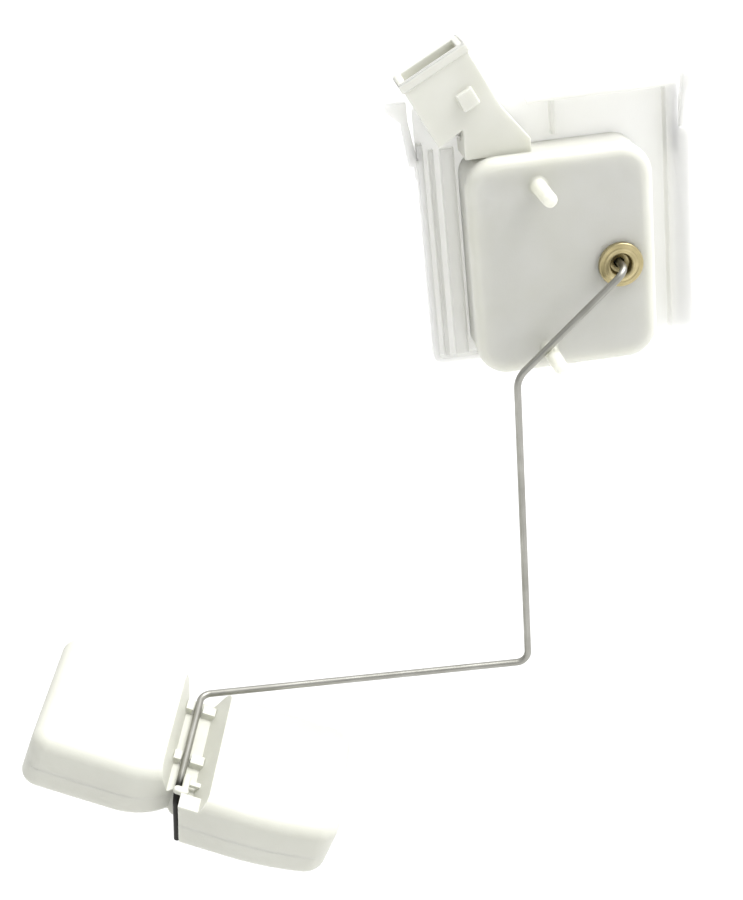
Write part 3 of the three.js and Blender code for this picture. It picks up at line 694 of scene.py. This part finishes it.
def snap_hook():
    """The hook that holds the wire down: a post beside the wire, a bar along it and a bridge across it."""
    x, r, bridge_r, root = HOOK["x"], HOOK["radius"], HOOK["bridge_radius"], HOOK["root"]
    back, end, under = -HOOK["from"], -HOOK["to"], HOOK["bottom"] + 0.1
    bridge_y = end + bridge_r
    return [
        domed_bar("hook_bar", (x, back - r), (x, end + r), r),
        domed_bar("hook_bridge", (HOOK["bridge_left"] + bridge_r, bridge_y), (x, bridge_y), bridge_r),
        box("hook_post", WIRE["radius"] + GAP, x + r - 0.25, -SLOT["front"], back - root,
            SLOT["floor"] - root, under),
        box("hook_web", x, SLOT["right"] + 1.5, -SLOT["front"] + 0.3, back - 0.8, 0.2, under - 0.15),
    ]


def set_in_place(half):
    """Moves a half from the spindle's own frame to its place on the arm."""
    turn = spindle_matrix() @ Matrix.Rotation(math.radians(FLOAT["turn"]), 3, "Y")
    x, z = WIRE_CORNERS[-1]
    start = Vector((PIVOT["x"] + x, WIRE["plane"], PIVOT["z"] + z)) * MM
    half.data.transform(Matrix.Translation(start) @ turn.to_4x4())


def float_upper(material):
    seam = FLOAT["parting"] + FLOAT["seam"]
    half = float_half("float_upper_moulding", seam, FLOAT["top"], FLOAT["top_edge"])
    groove = slot_cut("groove", SLOT["floor"], -SLOT["end"], 5)
    mouth = slot_cut("groove_mouth", SLOT["lip"], -FLOAT["right_front"] - 5, -SLOT["end"] + 0.01)
    cut(half, groove, mouth, tail_notch(), *hollows(seam - 1, FLOAT["top"] - 2))
    merge_short_edges(half, 0.2)
    saddles = [saddle("saddle_" + end, *SADDLES[end]) for end in ("back", "front")]
    join(half, *saddles, *snap_hook())
    soften(half, 0.12, fine=at_height(seam))
    set_in_place(half)
    place(half, "float_upper", "float", "float_plastic", material)


def float_lower(material):
    seam = FLOAT["parting"] - FLOAT["seam"]
    half = float_half("float_lower_moulding", seam, FLOAT["bottom"], FLOAT["bottom_edge"])
    cut(half, tail_notch(), *hollows(FLOAT["bottom"] + 2, seam + 1))
    merge_short_edges(half, 0.1)
    soften(half, 0.12, fine=at_height(seam))
    set_in_place(half)
    place(half, "float_lower", "float", "float_plastic", material)


# ---- inner pieces -------------------------------------------------------------------------------
def finish_node(node, material, width=0.08):
    """Keeps a CAD piece's shape, breaks its edges, and gives it its material."""
    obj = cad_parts[node]
    weld = obj.modifiers.new("weld", "WELD")
    weld.merge_threshold = 2e-6
    add_edge_radius(obj, width, 2)
    obj.data.materials.clear()
    obj.data.materials.append(material)


# ---- stage --------------------------------------------------------------------------------------
def studio_floor():
    """A wide pale floor well below the part, which hangs from its mount."""
    bm = bmesh.new()
    bmesh.ops.create_circle(bm, cap_ends=True, radius=30.0, segments=96)
    floor = new_object("studio_floor", bm)
    floor.location = (0, 0, -0.45)
    look = Look("studio_paper")
    tone = look.spread(look.noise(1.5, 3.0), 0.0, 1.0)
    fibre = look.noise(700.0, 3.0)
    look.bump(fibre, 0.05)
    colour = look.blend(tone, grey(0.69), grey(0.71))
    floor.data.materials.append(look.finish(colour, look.spread(fibre, 0.7, 0.85)))


def studio_world():
    """Pale surroundings: bright behind, above and to the right, dimmer in front and to the left."""
    world = bpy.data.worlds.new("studio")
    bpy.context.scene.world = world
    world.use_nodes = True
    nodes, links = world.node_tree.nodes, world.node_tree.links
    direction = nodes.new("ShaderNodeTexCoord").outputs["Generated"]
    toward = nodes.new("ShaderNodeVectorMath")
    toward.operation = "DOT_PRODUCT"
    toward.inputs[1].default_value = Vector((0.58, 0.60, 0.55))
    share = nodes.new("ShaderNodeMapRange")
    share.inputs["From Min"].default_value = -1.0
    mix = nodes.new("ShaderNodeMix")
    mix.data_type = "RGBA"
    mix.inputs[6].default_value = (0.32, 0.325, 0.33, 1.0)
    mix.inputs[7].default_value = (1.16, 1.16, 1.16, 1.0)
    links.new(direction, toward.inputs[0])
    links.new(toward.outputs["Value"], share.inputs["Value"])
    links.new(share.outputs["Result"], mix.inputs[0])
    links.new(mix.outputs[2], nodes["Background"].inputs["Color"])


def studio_lights():
    sun = bpy.data.lights.new("overhead", "SUN")
    sun.energy = 3.4
    sun.angle = math.radians(42)
    lamp = bpy.data.objects.new("overhead", sun)
    bpy.context.scene.collection.objects.link(lamp)
    lamp.rotation_mode = "QUATERNION"
    lamp.rotation_quaternion = Vector((0.55, -0.10, 1.0)).to_track_quat("Z", "Y")


def camera():
    azimuth = math.radians(CAMERA["azimuth"])
    elevation = math.radians(CAMERA["elevation"])
    roll = math.radians(CAMERA["roll"])
    back = Vector((math.sin(azimuth) * math.cos(elevation), -math.cos(azimuth) * math.cos(elevation),
                   math.sin(elevation)))
    level = Vector((math.cos(azimuth), math.sin(azimuth), 0))
    upright = back.cross(level)
    right = level * math.cos(roll) - upright * math.sin(roll)
    up = level * math.sin(roll) + upright * math.cos(roll)
    data = bpy.data.cameras.new("camera")
    data.lens = CAMERA["lens"]
    data.clip_start = 0.01
    obj = bpy.data.objects.new("camera", data)
    bpy.context.scene.collection.objects.link(obj)
    turn = Matrix((right, up, back)).transposed().to_4x4()
    obj.matrix_world = Matrix.Translation((Vector(CAMERA["target"]) + back * CAMERA["distance"]) * MM) @ turn
    bpy.context.scene.camera = obj


def stage():
    bpy.context.scene.view_settings.view_transform = "Standard"
    studio_floor()
    studio_world()
    studio_lights()
    camera()


# ---- the part -----------------------------------------------------------------------------------
def visible_pieces():
    plate_plastic = moulded_plastic("acetal_plate", grey(0.72, 1.0, 0.965), grey(0.68, 1.0, 0.955),
                                    grey(0.93, 1.0, 0.96), 0.42, 1.0, 0.012)
    housing_plastic = moulded_plastic("acetal_housing", grey(0.73, 1.0, 0.885), grey(0.67, 1.0, 0.865),
                                      grey(0.82, 1.0, 0.94), 0.40, 1.0, 0.007)
    connector_plastic = moulded_plastic("acetal_connector", grey(0.75, 1.0, 0.92), grey(0.69, 1.0, 0.90),
                                        grey(0.85, 1.0, 0.94), 0.42, 0.5, 0.0022)
    float_plastic = moulded_plastic("float_skin", grey(0.64, 1.005, 0.90), grey(0.60, 1.0, 0.89),
                                    grey(0.70, 1.0, 0.93), 0.46, 0.35, 0.002)
    pivot = (PIVOT["x"], PIVOT["z"])
    brass = turned_metal("turned_brass", pivot, (0.66, 0.57, 0.34, 1), (0.46, 0.39, 0.20, 1), 0.24)
    carrier_plate(plate_plastic)
    housing_base(housing_plastic)
    connector_shroud(connector_plastic)
    housing_cover(housing_plastic)
    pivot_bush(brass)
    float_arm()
    float_upper(float_plastic)
    float_lower(float_plastic)
    return housing_plastic, brass


def inner_pieces(acetal, brass):
    pivot = (PIVOT["x"], PIVOT["z"])
    steel = turned_metal("turned_steel", pivot, grey(0.58, 0.99, 0.95), grey(0.44, 0.99, 0.94), 0.25)
    tin = stamped_metal("tinned_sheet", grey(0.66, 0.99, 0.95), grey(0.55, 0.99, 0.94), 0.24)
    bronze = stamped_metal("spring_bronze", (0.66, 0.40, 0.20, 1), (0.54, 0.31, 0.14, 1), 0.22)
    resistor = printed_ink("resistor_ink", grey(0.05), grey(0.02), 0.0, 0.6)
    silver = printed_ink("silver_ink", grey(0.66), grey(0.52), 1.0, 0.4)
    finish_node("rotor", acetal, 0.12)
    for node in ("rear_bearing", "wiper_contact_outer", "wiper_contact_inner",
                 "card_rivet_signal", "card_rivet_ground"):
        finish_node(node, brass)
    for node in ("thrust_washer", "arm_retainer"):
        finish_node(node, steel)
    for node in ("terminal_signal", "terminal_ground"):
        finish_node(node, tin)
    finish_node("wiper_spring", bronze)
    finish_node("resistor_card", fired_ceramic())
    finish_node("resistor_track", resistor, 0.03)
    finish_node("contact_track", silver, 0.03)


stage()
inner_pieces(*visible_pieces())
